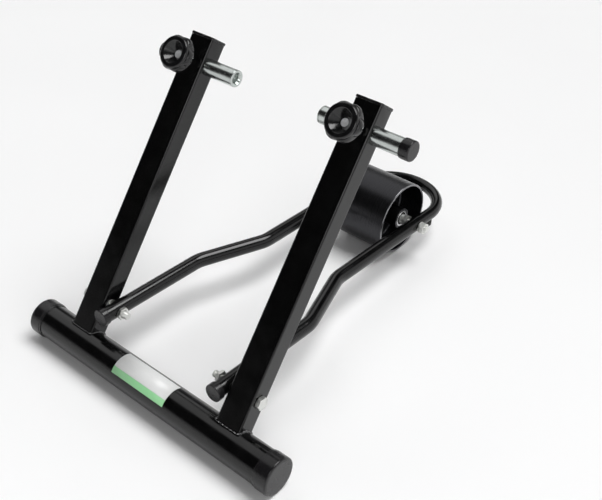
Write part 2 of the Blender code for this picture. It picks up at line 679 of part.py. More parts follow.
def make_drum(roller):
    """A drum with a web in its middle and a hub whose ends hold the bearings."""
    half = DRUM_LENGTH / 2
    shell = DRUM_RADIUS - DRUM_WALL
    hub = HUB_LENGTH / 2
    web = WEB_THICKNESS / 2
    seat = BEARING_RADIUS + GAP
    shoulder = hub - BEARING_WIDTH - GAP
    outer_half = [(seat, hub, 0), (HUB_RADIUS, hub, 0), (HUB_RADIUS, web, WEB_FILLET),
                  (shell, web, WEB_FILLET), (shell, half, 0), (DRUM_RADIUS, half, DRUM_EDGE_ROUND)]
    bore_half = [(HUB_BORE_RADIUS, shoulder, 0), (seat, shoulder, 0)]
    lower_half = [(radius, -height, fillet) for radius, height, fillet in reversed(outer_half)]
    lower_bore = [(radius, -height, fillet) for radius, height, fillet in reversed(bore_half)]
    mesh = turned(outer_half + lower_half + lower_bore + bore_half, DRUM_STEPS)
    new_piece("roller_drum", mesh, "drum_steel", roller, along="+X", phase=math.pi / DRUM_STEPS - LEG_SLOPE)


def main():
    floor = new_frame("floor", None, (0, -middle_of_length(), 0))
    base = new_frame("base_axis", floor, (0, 0, flat_radius(BASE_CAP_RADIUS, BASE_STEPS)))
    uprights = new_frame("uprights_frame", base, turn=Matrix.Rotation(-LEAN, 4, "X"))
    u_frame = new_frame("u_frame_pivot", uprights, (0, 0, PIVOT_HEIGHT), Matrix.Rotation(LEG_RISE, 4, "X"))
    roller = new_frame("roller_axis", u_frame, (0, AXLE_DISTANCE, 0))

    make_base_tube(base)
    make_base_caps(base)
    axle_hole_mesh = rod(BORE_RADIUS, -AXLE_HALF_LENGTH, AXLE_HALF_LENGTH)
    axle_hole = new_cutter("axle_hole", axle_hole_mesh, u_frame, (0, AXLE_DISTANCE, 0), "+X")
    for side, sign in SIDES:
        make_upright(side, sign, uprights)
        make_upright_plug(side, sign, uprights)
        make_lock_nut(side, sign, uprights)
        make_pivot(side, sign, uprights)
        make_clamp(side, sign, uprights)
        make_lock(side, sign, uprights)
        make_leg(side, sign, u_frame, axle_hole)
    make_bow(u_frame, axle_hole)
    make_axle(u_frame, roller)
    make_drum(roller)


main()
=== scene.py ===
"""Bicycle trainer, dressed for a studio picture.

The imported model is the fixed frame. Every visible piece is modelled finely around it, with its finish:
painted tubes, moulded caps and knobs, plated threads, a turned drum. The sizes and colours that a user
would change are properties of the scene, and each group of pieces has its own operator.
"""
import json
import math

import bmesh
import bpy
from bpy.props import FloatProperty, FloatVectorProperty, IntProperty, PointerProperty
from mathutils import Matrix, Vector


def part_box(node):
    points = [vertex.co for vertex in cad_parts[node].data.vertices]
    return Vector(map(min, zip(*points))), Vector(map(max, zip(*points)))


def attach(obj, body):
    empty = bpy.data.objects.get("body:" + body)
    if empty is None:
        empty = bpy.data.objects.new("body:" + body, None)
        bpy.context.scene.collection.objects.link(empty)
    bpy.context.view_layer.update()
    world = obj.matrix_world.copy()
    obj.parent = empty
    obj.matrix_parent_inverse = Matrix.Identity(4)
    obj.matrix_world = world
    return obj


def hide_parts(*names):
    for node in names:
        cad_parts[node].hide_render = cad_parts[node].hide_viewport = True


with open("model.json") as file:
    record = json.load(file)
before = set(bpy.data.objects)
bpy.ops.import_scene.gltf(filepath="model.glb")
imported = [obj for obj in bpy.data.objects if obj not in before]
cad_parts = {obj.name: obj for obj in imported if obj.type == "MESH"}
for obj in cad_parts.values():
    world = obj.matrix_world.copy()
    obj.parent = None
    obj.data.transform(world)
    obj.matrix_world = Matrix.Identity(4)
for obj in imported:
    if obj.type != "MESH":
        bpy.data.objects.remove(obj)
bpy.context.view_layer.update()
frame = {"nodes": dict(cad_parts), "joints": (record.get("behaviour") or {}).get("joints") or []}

bl_info = {
    "name": "Bicycle Trainer",
    "version": (1, 0, 0),
    "blender": (4, 5, 0),
    "location": "3D View > Sidebar > Trainer",
    "description": "Models a bicycle trainer piece by piece, with its finishes and a studio",
    "category": "Object",
}

MM = 0.001
GAP = 0.3 * MM
SIGNS = {"right": 1, "left": -1}

# Fineness of round shapes
LARGE_STEPS = 120
TUBE_STEPS = 60
SMALL_STEPS = 36
ROUND_STEPS = 5
BEND_STEPS = 18
BOW_STEPS = 48
SHARP_ANGLE = math.radians(32.0)
WELD_DISTANCE = 0.0001 * MM

# Turns that lay a piece's own Z in another direction
ALONG_X = Matrix.Rotation(math.pi / 2, 4, "Y")
REARWARD = Matrix.Rotation(math.pi / 2, 4, "X")
OUTWARD = {"right": ALONG_X, "left": Matrix.Rotation(-math.pi / 2, 4, "Y")}
INWARD = {"right": OUTWARD["left"], "left": OUTWARD["right"]}


# Places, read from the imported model

def middle(node):
    """Centre of a node's box."""
    low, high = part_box(node)
    return (low + high) / 2


def span(node, side="right"):
    """A node's nearer and farther end along X, from the middle of the trainer."""
    low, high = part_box(node)
    return (low.x, high.x) if side != "left" else (-high.x, -low.x)


def joint_named(name):
    return next(joint for joint in frame["joints"] if joint["name"] == name)


def axes_at(origin, forward):
    """Axes with X to the right, Y along forward and Z square to both."""
    right = Vector((1, 0, 0))
    return Matrix.Translation(origin) @ Matrix((right, forward, right.cross(forward))).transposed().to_4x4()


LOCK_OUTWARD = Vector(joint_named("lock_right_travel")["axis"])
PIVOT = Vector(joint_named("frame_fold")["pos_m"])
ROLLER = Vector(joint_named("roller_spin")["pos_m"])
TO_ROLLER = ROLLER - PIVOT
STAND_AXES = axes_at(middle("base_tube"), -LOCK_OUTWARD)
PIVOT_AXES = axes_at(PIVOT, TO_ROLLER.normalized())


def in_stand(node):
    """Centre of a node's box, in the uprights' own axes."""
    return STAND_AXES.inverted() @ middle(node)


def in_u_frame(node):
    """Centre of a node's box, in the U-frame's own axes."""
    return PIVOT_AXES.inverted() @ middle(node)


def on_stand(x, z, turn=Matrix()):
    """A place on the middle plane of the uprights, in their own axes."""
    return STAND_AXES @ Matrix.Translation((x, 0, z)) @ turn


def beside(side, distance, z, turns=OUTWARD):
    """A place on the same plane, so far to the right or left of the middle."""
    return on_stand(SIGNS[side] * distance, z, turns[side])


def on_u_frame(x, y, turn=Matrix()):
    """A place on the plane through the pivots and the axle."""
    return PIVOT_AXES @ Matrix.Translation((x, y, 0)) @ turn


# Sizes and colours that a user would change

def label_of(name):
    return name.replace("_", " ").capitalize()


def labelled(kind, entries, **settings):
    """Properties of one kind, each with a label made from its name. An entry is (default, description)."""
    return {name: kind(name=label_of(name), description=about, default=default, **settings)
            for name, (default, about) in entries.items()}


def lengths(**entries):
    """Length properties, given in millimetres."""
    metres = {name: (millimetres * MM, about) for name, (millimetres, about) in entries.items()}
    return labelled(FloatProperty, metres, min=0.0, precision=5, subtype="DISTANCE", unit="LENGTH")


def angles(**entries):
    """Angle properties, given in degrees."""
    turns = {name: (math.radians(degrees), about) for name, (degrees, about) in entries.items()}
    return labelled(FloatProperty, turns, subtype="ANGLE", unit="ROTATION")


class BaseSizes(bpy.types.PropertyGroup):
    """Sizes of the base tube, its caps and its label."""
    __annotations__ = lengths(
        tube_radius=(25.4, "Outer radius of the base tube"),
        tube_wall=(2.0, "Wall of the base tube"),
        tube_length=(454.0, "Length of the base tube"),
        cap_skirt=(20.0, "How far an end cap slips over the tube"),
        cap_end=(2.7, "Thickness of an end cap's flat end"),
        cap_round=(2.5, "Radius of the edge round an end cap's flat end"),
        cap_bead=(0.7, "Depth of the moulded step near the mouth of an end cap"),
        label_offset=(4.0, "How far the middle of the label lies left of the middle of the tube"),
        label_width=(100.0, "Width of the label along the tube"),
        label_film=(0.15, "Thickness of the label"),
    ) | angles(
        label_low=(-6.0, "Lower edge of the label, up from the rear of the tube"),
        label_high=(86.0, "Upper edge of the label, up from the rear of the tube"),
    )
    label_stripe: FloatProperty(name="Label stripe", default=0.24, min=0.0, max=1.0, subtype="FACTOR",
                                description="Share of the label's height that its plain stripe takes")


class UprightSizes(bpy.types.PropertyGroup):
    """Sizes of the uprights, their plugs and their welds."""
    __annotations__ = lengths(
        width=(40.0, "Side of the rectangular tube along X"),
        depth=(30.0, "Side of the rectangular tube from front to rear"),
        wall=(2.0, "Wall of the rectangular tube"),
        corner=(3.0, "Outer radius of the tube's corners"),
        height=(463.0, "From the base tube's axis to the cut top"),
        plug_lip=(4.2, "Height of a plug's lip above the tube"),
        plug_proud=(0.8, "How far a plug's lip stands out past the tube"),
        plug_round=(1.2, "Radius of the edge round a plug's top"),
        plug_crown=(0.5, "How far a plug's top rises in its middle"),
        weld=(2.3, "Radius of the weld bead round an upright's foot"),
        weld_ripple=(2.4, "Distance between the ripples of a weld"),
    )


class HardwareSizes(bpy.types.PropertyGroup):
    """Sizes of the bolts, nuts and washers."""
    __annotations__ = lengths(
        bolt_radius=(5.0, "Radius over the thread"),
        thread_pitch=(1.5, "Distance between the threads"),
        thread_depth=(0.75, "Depth of the thread"),
        across_flats=(17.0, "Distance across the flats of nuts and heads"),
        nut_thickness=(8.0, "Thickness of a nut"),
        head_thickness=(6.4, "Height of a bolt's hexagon"),
        washer_radius=(9.0, "Outer radius of a washer"),
        edge=(0.25, "Rounding of small turned edges"),
    )


class ClampSizes(bpy.types.PropertyGroup):
    """Sizes of the sliding tubes, their caps and their cups."""
    __annotations__ = lengths(
        tube_radius=(12.0, "Outer radius of the sliding tube"),
        tube_wall=(2.0, "Wall of the sliding tube"),
        cap_wall=(1.2, "Wall of the cap"),
        cap_end=(2.0, "Thickness of the cap's flat end"),
        cap_skirt=(12.0, "How far the cap slips over the tube"),
        cap_round=(1.5, "Radius of the edge round the cap's flat end"),
        cup_flange=(2.0, "Thickness of the cup's flange"),
        cup_bore=(6.5, "Radius of the cup's bore"),
        cup_mouth=(8.5, "Radius of the cup's mouth"),
        cup_depth=(10.0, "Depth of the cup's bore"),
        cup_cone=(3.0, "Depth of the cone at the cup's mouth"),
    )


class LockSizes(bpy.types.PropertyGroup):
    """Sizes of the star knobs."""
    __annotations__ = lengths(
        rim_radius=(23.0, "Radius of the smooth rim in front of the lobes"),
        rim_round=(3.0, "Radius of the rim's outer edge"),
        rim_width=(7.0, "Width of the rim round the dish"),
        height=(21.0, "Height of the knob"),
        boss_radius=(13.0, "Radius of the boss under the lobes"),
        boss_height=(4.0, "Height of the boss under the lobes"),
        dish_depth=(11.5, "Depth of the dish in the knob's front"),
        lobe_rise=(3.2, "How far a lobe stands out from the rim"),
        neck=(1.5, "Plain stretch between the lobes and the rim's edge"),
        disc_radius=(5.4, "Radius of the disc in the middle of the dish"),
        disc_thickness=(1.5, "Thickness of the disc in the middle of the dish"),
    )
    lobes: IntProperty(name="Lobes", description="Number of lobes round the knob", default=6, min=3, max=12)


class FrameSizes(bpy.types.PropertyGroup):
    """Sizes of the legs, the bow and its pads."""
    __annotations__ = lengths(
        leg_radius=(11.1, "Outer radius of a leg"),
        leg_wall=(1.3, "Wall of a leg"),
        leg_stub=(29.6, "How far a leg reaches behind its pivot, with its cap"),
        first_bend=(163.0, "Distance from the pivot to the first bend"),
        second_bend=(272.0, "Distance from the pivot to the second bend"),
        bend_radius=(60.0, "Radius of a leg's bends"),
        past_axle=(10.0, "How far a leg reaches past the axle"),
        cap_wall=(1.2, "Wall of a leg's cap"),
        cap_end=(2.0, "Thickness of a leg cap's flat end"),
        cap_skirt=(8.0, "How far a leg's cap slips over the tube"),
        cap_round=(1.0, "Radius of the edge round a leg cap's flat end"),
        bow_wall=(1.6, "Wall of the bow"),
        bow_straight=(42.5, "Straight stretch of the bow past the axle"),
        bow_insert=(24.0, "How far the bow slips into a leg"),
        pad_place=(36.0, "Distance from the axle to the middle of a pad"),
        pad_length=(20.0, "Length of a pad along the bow"),
        pad_width=(12.0, "Width of a pad across the bow"),
        pad_drop=(10.5, "How far a pad hangs below the bow"),
        pad_round=(2.0, "Radius of a pad's edges"),
    )


class RollerSizes(bpy.types.PropertyGroup):
    """Sizes of the drum and its bearings."""
    __annotations__ = lengths(
        drum_length=(95.0, "Length of the drum"),
        drum_wall=(3.5, "Wall of the drum's shell"),
        drum_round=(1.5, "Radius of the drum's outer edges"),
        web_thickness=(8.0, "Thickness of the web in the drum's middle"),
        web_fillet=(3.0, "Fillet between the web, the shell and the hub"),
        hub_wall=(3.7, "Wall of the hub round a bearing"),
        hub_inset=(1.5, "How far the hub stops short of the drum's ends"),
        bearing_radius=(13.0, "Outer radius of a bearing"),
        bearing_width=(8.0, "Width of a bearing"),
        bearing_ring=(2.2, "Thickness of a bearing's rings"),
        seal_depth=(0.6, "How far a bearing's seal lies below its rings"),
        shoulder=(2.5, "Height of the shoulder behind a bearing"),
        spacer_radius=(8.0, "Outer radius of the collars and the sleeve on the axle"),
    )


class FinishColours(bpy.types.PropertyGroup):
    """Colours of the finishes."""
    __annotations__ = labelled(FloatVectorProperty, {
        "paint": ((0.0020, 0.0020, 0.0021), "Gloss black powder paint on the tubes"),
        "moulding": ((0.0085, 0.0080, 0.0088), "Black plastic of the caps and plugs"),
        "knob": ((0.0050, 0.0050, 0.0055), "Gloss black plastic of the knobs"),
        "rubber": ((0.0180, 0.0180, 0.0175), "Black rubber of the pads and seals"),
        "zinc": ((0.740, 0.745, 0.720), "Bright zinc plate on the fasteners"),
        "tube_zinc": ((0.520, 0.550, 0.535), "Duller zinc plate on the sliding tubes and their cups"),
        "drum_steel": ((0.050, 0.050, 0.054), "Blackened steel of the drum"),
        # A lighter steel colour that the drum's finish paints on its rounded ends, as a painted highlight
        "drum_edge": ((0.240, 0.240, 0.250), "Bare steel at the drum's worn edges"),
        "bearing_steel": ((0.550, 0.550, 0.560), "Ground steel of the bearings"),
        "disc": ((0.760, 0.765, 0.780), "Light grey plastic of the disc in a knob"),
        "label_film": ((0.760, 0.765, 0.760), "Satin white film of the label"),
        "label_stripe": ((0.330, 0.720, 0.360), "Plain stripe printed on the label"),
        "floor": ((0.970, 0.970, 0.972), "Paper of the studio's floor"),
    }, min=0.0, max=1.0, size=3, subtype="COLOR")


class StageSettings(bpy.types.PropertyGroup):
    """The camera, the lamps and the floor."""
    __annotations__ = angles(
        azimuth=(41.99, "Turn of the camera to the left of straight ahead"),
        elevation=(35.05, "How far the camera looks down"),
        roll=(-0.356, "Turn of the camera about its own line of sight"),
        key_angle=(36.0, "Angle that the soft light from overhead fills"),
    ) | labelled(FloatProperty, {
        "lens": (58.54, "Focal length in millimetres on a sensor 36 mm wide"),
        "key_strength": (2.3, "Strength of the soft light from overhead"),
        "soft_box": (1.3, "Strength of the soft box overhead at the left"),
        "fill_power": (15.0, "Power of the weak panel beside the camera"),
    }, min=0.0) | lengths(floor_radius=(6000.0, "Radius of the paper that the trainer stands on"))
    shift: FloatVectorProperty(name="Shift", description="Lens shift to the right and up", size=2,
                               default=(0.0598, -0.0498), precision=4)
    eye: FloatVectorProperty(name="Eye", description="Where the camera stands", size=3,
                             default=(0.7527, -0.9083, 0.9724), subtype="TRANSLATION", unit="LENGTH")


class TrainerSettings(bpy.types.PropertyGroup):
    """All the trainer's properties."""
    base: PointerProperty(type=BaseSizes)
    upright: PointerProperty(type=UprightSizes)
    hardware: PointerProperty(type=HardwareSizes)
    clamp: PointerProperty(type=ClampSizes)
    lock: PointerProperty(type=LockSizes)
    u_frame: PointerProperty(type=FrameSizes)
    roller: PointerProperty(type=RollerSizes)
    colours: PointerProperty(type=FinishColours)
    stage: PointerProperty(type=StageSettings)


# Outlines

def rounded(corners, closed=False, steps=ROUND_STEPS):
    """The outline through corners (x, y, radius), with an arc in place of each corner that has a radius."""
    points = []
    count = len(corners)
    for index, (x, y, radius) in enumerate(corners):
        at_end = not closed and index in (0, count - 1)
        if at_end or radius <= 0:
            points.append((x, y))
            continue
        corner = Vector((x, y))
        before = (Vector(corners[index - 1][:2]) - corner).normalized()
        after = (Vector(corners[(index + 1) % count][:2]) - corner).normalized()
        half = before.angle(after) / 2
        centre = corner + (before + after).normalized() * radius / math.sin(half)
        start = corner + before * radius / math.tan(half) - centre
        end = corner + after * radius / math.tan(half) - centre
        sweep = start.angle_signed(end)
        points.extend(tuple(centre + Matrix.Rotation(-sweep * step / steps, 2) @ start)
                      for step in range(steps + 1))
    return points


def ring(radius_at, height, steps=SMALL_STEPS):
    """Points round Z. radius_at gives the radius for an angle."""
    points = []
    for step in range(steps):
        angle = math.tau * step / steps
        radius = radius_at(angle)
        points.append((radius * math.cos(angle), radius * math.sin(angle), height))
    return points


def circle(radius, height, steps=SMALL_STEPS):
    return ring(lambda angle: radius, height, steps)


def hexagon(flats, height, fall):
    """A loop round a hexagon where a cone cuts its corners: below the height if fall is -1, above it if 1."""
    sector = math.pi / 3
    cone = math.radians(30.0)
    corners = ring(lambda angle: flats / 2 / math.cos(angle % sector - sector / 2), height)
    return [(x, y, z + fall * (math.hypot(x, y) - flats / 2 + GAP) * math.tan(cone)) for x, y, z in corners]


def rectangle(width, depth, corner):
    x, y = width / 2, depth / 2
    return rounded([(x, -y, corner), (x, y, corner), (-x, y, corner), (-x, -y, corner)], closed=True)


def at_height(outline, height):
    return [(x, y, height) for x, y in outline]


# Meshes

def loft(loops, cyclic=False):
    """A skin through loops of as many points each. Its ends are filled, or joined to each other if cyclic."""
    shape = bmesh.new()
    rings = [[shape.verts.new(point) for point in loop] for loop in loops]
    pairs = list(zip(rings, rings[1:]))
    if cyclic:
        pairs.append((rings[-1], rings[0]))
    else:
        shape.faces.new(rings[0])
        shape.faces.new(rings[-1])
    for near, far in pairs:
        for corners in zip(near, near[1:] + near[:1], far[1:] + far[:1], far):
            shape.faces.new(corners)
    bmesh.ops.remove_doubles(shape, verts=shape.verts, dist=WELD_DISTANCE)
    return finished_mesh(shape)


def finished_mesh(shape):
    """The mesh of a shape, with its faces pointing out."""
    bmesh.ops.recalc_face_normals(shape, faces=shape.faces)
    mesh = bpy.data.meshes.new("shape")
    shape.to_mesh(mesh)
    shape.free()
    return shaded(mesh)


def shaded(mesh):
    """The mesh, smooth between its sharp edges."""
    mesh.shade_smooth()
    mesh.set_sharp_from_angle(angle=SHARP_ANGLE)
    return mesh


def turned(outline, steps=SMALL_STEPS, closed=False):
    """A turned solid about Z. The outline's corners are (radius, height, fillet)."""
    loops = [circle(radius, height, steps) for radius, height in rounded(outline, closed)]
    return loft(loops, cyclic=closed)


def sleeve(inner, outer, bottom, top, edge, steps=SMALL_STEPS):
    """A sleeve or washer along Z, with its edges just broken."""
    corners = [(inner, top, edge), (outer, top, edge), (outer, bottom, edge), (inner, bottom, edge)]
    return turned(corners, steps, closed=True)


def slip_cap(sizes, inner, radius, bead=GAP, steps=TUBE_STEPS):
    """A moulded cap over the end of a tube at Z = 0, with a shallow step near its mouth."""
    fillet, skirt = sizes.cap_round, sizes.cap_skirt
    end = GAP + sizes.cap_end
    panel, shoulder = radius - 1.6 * fillet, radius - 1.2 * fillet
    rim = end - 0.3 * bead
    step = -0.82 * skirt
    step_round = 0.4 * bead
    mouth, mouth_round = radius - bead, 0.8 * bead
    return turned([(0, end, 0), (panel, end, fillet / 2), (shoulder, rim, 0.3 * fillet),
                   (radius, rim, fillet), (radius, step, step_round), (mouth, step - bead / 2, step_round),
                   (mouth, -skirt, mouth_round), (inner, -skirt, 0), (inner, GAP, 0), (0, GAP, 0)], steps)


def path_rings(path, radius):
    """Rings square to a path in the XY plane, mitred where it bends."""
    least_cosine = 0.5
    points = [Vector(point) for point in path]
    sides = [(end - start).normalized() for start, end in zip(points, points[1:])]
    rings = []
    for index, point in enumerate(points):
        into = sides[max(index - 1, 0)]
        heading = (into + sides[min(index, len(sides) - 1)]).normalized()
        across = Vector((heading.y, -heading.x)) / max(heading.dot(into), least_cosine)
        rings.append([(*(point + across * x), y) for x, y, z in circle(radius, 0, TUBE_STEPS)])
    return rings


def tube_along(path, radius, wall):
    """A hollow tube along a path, with square ends whose outer edge is just broken."""
    trimmed = list(path)
    for end, following in ((0, 1), (-1, -2)):
        tip = Vector(path[end])
        trimmed[end] = tuple(tip + (Vector(path[following]) - tip).normalized() * GAP)
    edges = path_rings(path, radius - GAP)
    bore = path_rings(path, radius - wall)
    return loft([edges[0], *path_rings(trimmed, radius), edges[-1], *reversed(bore)], cyclic=True)


def nut(hardware, bottom, top):
    """A hexagonal nut along Z, chamfered on both faces."""
    flats, depth = hardware.across_flats, hardware.thread_depth
    bore = hardware.bolt_radius + GAP
    mouth = bore + depth
    face = flats / 2 - GAP
    return loft([circle(bore, top - depth), circle(mouth, top), circle(face, top), hexagon(flats, top, -1),
                 hexagon(flats, bottom, 1), circle(face, bottom), circle(mouth, bottom),
                 circle(bore, bottom + depth)], cyclic=True)


def thread_loops(hardware, top, bottom):
    """Loops down a threaded stretch. Its ends taper to the root of the thread."""
    rows_per_turn = 6
    flank_slope = 1.25
    pitch, depth = hardware.thread_pitch, hardware.thread_depth
    root = hardware.bolt_radius - depth
    rows = math.ceil((top - bottom) / pitch * rows_per_turn)
    loops = []
    for row in range(rows + 1):
        height = top + (bottom - top) * row / rows
        limit = root + max(0.0, min(top - height, height - bottom))

        def radius_at(angle):
            flank = abs(2 * ((height / pitch - angle / math.tau) % 1.0) - 1)
            return min(root + depth * min(1.0, flank * flank_slope), limit)

        loops.append(ring(radius_at, height))
    return loops


def block(width, depth, corner, rows):
    """A block with rounded corners. Each row (inset, height) is an outline that far inside the widest."""
    return loft([at_height(rectangle(width - 2 * inset, depth - 2 * inset, max(corner - inset, GAP)), height)
                 for inset, height in rows])


def rounding(radius):
    """The rows (inset, depth) down a rounded edge."""
    angles_down = [math.pi / 2 * step / ROUND_STEPS for step in range(ROUND_STEPS + 1)]
    return [(radius * (1 - math.sin(angle)), radius * (1 - math.cos(angle))) for angle in angles_down]


def patch(columns, rows, place):
    """An open sheet of columns x rows faces. place gives a point for shares (u, v) from 0 to 1."""
    shape = bmesh.new()
    grid = [[shape.verts.new(place(column / columns, row / rows)) for column in range(columns + 1)]
            for row in range(rows + 1)]
    for low, high in zip(grid, grid[1:]):
        for column in range(columns):
            shape.faces.new((low[column], low[column + 1], high[column + 1], high[column]))
    return finished_mesh(shape)


def hole(radius, reach, place, turn=ALONG_X):
    """A round cutter that reaches as far both ways from its place, and the matrix that puts it there."""
    drill = turned([(0, reach, 0), (radius, reach, 0), (radius, -reach, 0), (0, -reach, 0)])
    return drill, Matrix.Translation(place) @ turn


def carved(mesh, holes):
    """The mesh with each hole (cutter, matrix) taken out of it."""
    collection = bpy.context.scene.collection
    body = bpy.data.objects.new("body", mesh)
    collection.objects.link(body)
    tools = []
    for cutter, place in holes:
        tool = bpy.data.objects.new("tool", cutter)
        tool.matrix_world = place
        collection.objects.link(tool)
        tools.append(tool)
        boolean = body.modifiers.new("cut", "BOOLEAN")
        boolean.operation = "DIFFERENCE"
        boolean.solver = "EXACT"
        boolean.object = tool
    depsgraph = bpy.context.evaluated_depsgraph_get()
    cut_mesh = bpy.data.meshes.new_from_object(body.evaluated_get(depsgraph))
    for scratch in (body, *tools):
        bpy.data.objects.remove(scratch)
    return shaded(cut_mesh)


# Finishes

class Nodes:
    """Adds shader nodes to a material or world and links them."""

    def __init__(self, owner):
        owner.use_nodes = True
        self.tree = owner.node_tree

    def feed(self, node, inputs):
        """Gives each input its value, or links it to the output of another node."""
        for name, value in inputs.items():
            if isinstance(value, bpy.types.NodeSocket):
                self.tree.links.new(value, node.inputs[name])
            else:
                node.inputs[name].default_value = value

    def add(self, kind, inputs, **settings):
        """The outputs of a new node."""
        node = self.tree.nodes.new("ShaderNode" + kind)
        for name, value in settings.items():
            setattr(node, name, value)
        self.feed(node, inputs)
        return node.outputs

    def calculate(self, operation, *values):
        return self.add("Math", dict(enumerate(values)), operation=operation)["Value"]

    def place(self):
        """The place on the piece, in the piece's own coordinates."""
        return self.add("TexCoord", {})["Object"]

    def height(self):
        return self.add("SeparateXYZ", {"Vector": self.place()})["Z"]

    def grain(self, scale, detail, stretch=(1.0, 1.0, 1.0)):
        """Noise in the piece's own coordinates, finer for a larger scale."""
        stretched = self.add("Mapping", {"Vector": self.place(), "Scale": stretch})["Vector"]
        return self.add("TexNoise", {"Vector": stretched, "Scale": scale, "Detail": detail})["Fac"]

    def turning_marks(self, scale):
        """Fine rings about Z, on flat ends as on the round side, as a lathe leaves them."""
        flat = self.add("VectorMath", {0: self.place(), 1: (1.0, 1.0, 0.0)}, operation="MULTIPLY")["Vector"]
        radius = self.add("VectorMath", {0: flat}, operation="LENGTH")["Value"]
        total = self.calculate("ADD", radius, self.height())
        return self.add("TexNoise", {"W": total, "Scale": scale, "Detail": 3.0}, noise_dimensions="1D")["Fac"]

    def pattern(self, sizes):
        """Turning marks for sizes (scale,), and grain for (scale, detail) or (scale, detail, stretch)."""
        return self.turning_marks(*sizes) if len(sizes) == 1 else self.grain(*sizes)

    def spread(self, value, low, high, start=0.35, end=0.65):
        """The value stretched from start..end to low..high."""
        return self.add("MapRange", {"Value": value, "From Min": start, "From Max": end,
                                     "To Min": low, "To Max": high})["Result"]

    def blend(self, share, first, second):
        """Two colours mixed by the share of the second."""
        mixed = self.add("Mix", {"Factor": share, "A": (*first, 1.0), "B": (*second, 1.0)}, data_type="RGBA")
        return next(socket for socket in mixed if socket.type == "RGBA")


def new_finish(name, base, blotches, roughness, depth, reliefs, tints=(0.8, 1.25), metallic=0.0,
               specular=0.5, painted_end_highlight=None):
    """A material whose colour and gloss vary with its blotches, over reliefs of a depth in millimetres.

    blotches and reliefs are sizes for Nodes.pattern, the finest relief first. roughness and tints are
    (least, most). The last argument is (colour, start, end): a lighter colour painted towards the piece's
    ends as a painted highlight, by the distance from the piece's middle.
    """
    material = bpy.data.materials.new(name)
    nodes = Nodes(material)
    spots = nodes.pattern(blotches)
    # Painted highlight: the colour turns lighter towards the piece's ends
    if painted_end_highlight:
        end_highlight_colour, start, end = painted_end_highlight
        from_middle = nodes.calculate("ABSOLUTE", nodes.height())
        shade = nodes.blend(nodes.spread(from_middle, 0.0, 1.0, start, end), base, end_highlight_colour)
    else:
        darker, lighter = ([min(1.0, channel * tint) for channel in base] for tint in tints)
        shade = nodes.blend(nodes.spread(spots, 0.0, 1.0), darker, lighter)
    surface = {}
    for sizes in reliefs:
        relief = {"Strength": 1.0, "Distance": depth * MM, "Height": nodes.pattern(sizes), **surface}
        surface = {"Normal": nodes.add("Bump", relief)["Normal"]}
    nodes.feed(nodes.tree.nodes["Principled BSDF"], {
        "Metallic": metallic, "Specular IOR Level": specular, "Base Color": shade,
        "Roughness": nodes.spread(spots, *roughness), **surface})
    return material


def zinc_plate(name, base, roughness):
    """Zinc with a soft mottle and a drawn grain along the piece."""
    drawn = (900.0, 2.0, (1.0, 1.0, 0.05))
    return new_finish(name, base, (160.0, 3.0), roughness, 0.0006, [drawn], (0.93, 1.05), metallic=1.0)


def label_print(name, base):
    """Satin print with a faint brushed grain along the tube."""
    brushed = (400.0, 2.0, (0.3, 1.0, 1.0))
    return new_finish(name, base, brushed, (0.30, 0.34), 0.0003, [brushed], (0.985, 1.015))


def make_finishes(colours, roller):
    """Every finish of the trainer, with the record's slot that it belongs to."""
    half_drum = roller.drum_length / 2
    # The drum's rounded ends get a lighter colour: a painted highlight
    painted_end_highlight = (colours.drum_edge, half_drum - roller.drum_round, half_drum - GAP)
    return {
        # Powder paint with a faint orange peel
        "paint": (new_finish("black_powder_paint", colours.paint, (45.0, 3.0), (0.13, 0.20), 0.006,
                             [(900.0, 1.0), (260.0, 1.0)], specular=0.42), "black_paint"),
        # Gloss paint over the lumps of a weld, with lighter spots that are partly thin paint and partly
        # painted glints
        "weld": (new_finish("black_weld_paint", colours.paint, (400.0, 2.0), (0.08, 0.22), 0.15,
                            [(700.0, 2.0)], (1.0, 9.0), specular=0.8), "black_paint"),
        # Plastic with a spark-eroded grain
        "moulding": (new_finish("black_moulding", colours.moulding, (60.0, 4.0), (0.20, 0.31), 0.010,
                                [(2200.0, 2.0), (500.0, 2.0)], specular=0.42), "black_plastic"),
        # Polished plastic with light handling marks
        "knob": (new_finish("black_gloss_moulding", colours.knob, (120.0, 5.0), (0.13, 0.26), 0.004,
                            [(400.0, 2.0)]), "black_plastic"),
        # Dull rubber with a dusty bloom
        "rubber": (new_finish("black_rubber_pad", colours.rubber, (150.0, 5.0), (0.68, 0.85), 0.03,
                              [(1500.0, 3.0)], (0.7, 1.5), specular=0.3), "black_rubber"),
        "zinc": (zinc_plate("bright_zinc", colours.zinc, (0.32, 0.44)), "zinc"),
        "tube_zinc": (zinc_plate("tube_zinc", colours.tube_zinc, (0.20, 0.27)), "zinc"),
        # Blackened steel with the rings that the lathe left, and a lighter colour on both rounded ends that
        # is a painted highlight
        "drum": (new_finish("turned_steel", colours.drum_steel, (2600.0,), (0.24, 0.40), 0.005,
                            [(2600.0,), (90.0, 3.0)], metallic=1.0, painted_end_highlight=painted_end_highlight), "drum_steel"),
        "bearing": (new_finish("ground_steel", colours.bearing_steel, (5200.0,), (0.16, 0.30), 0.002,
                               [(5200.0,)], (0.9, 1.1), metallic=1.0), "bearing_steel"),
        "disc": (new_finish("grey_disc", colours.disc, (300.0, 4.0), (0.32, 0.45), 0.008,
                            [(1400.0, 2.0)], (0.88, 1.08)), "grey_plastic"),
        "film": (label_print("label_film", colours.label_film), "grey_plastic"),
        "stripe": (label_print("label_stripe", colours.label_stripe), "grey_plastic"),
    }


FINISHES = {}


def finish_for(name):
    """One of the trainer's finishes, all made when the first is asked for."""
    if not FINISHES:
        trainer = bpy.context.scene.trainer
        FINISHES.update(make_finishes(trainer.colours, trainer.roller))
    return FINISHES[name]


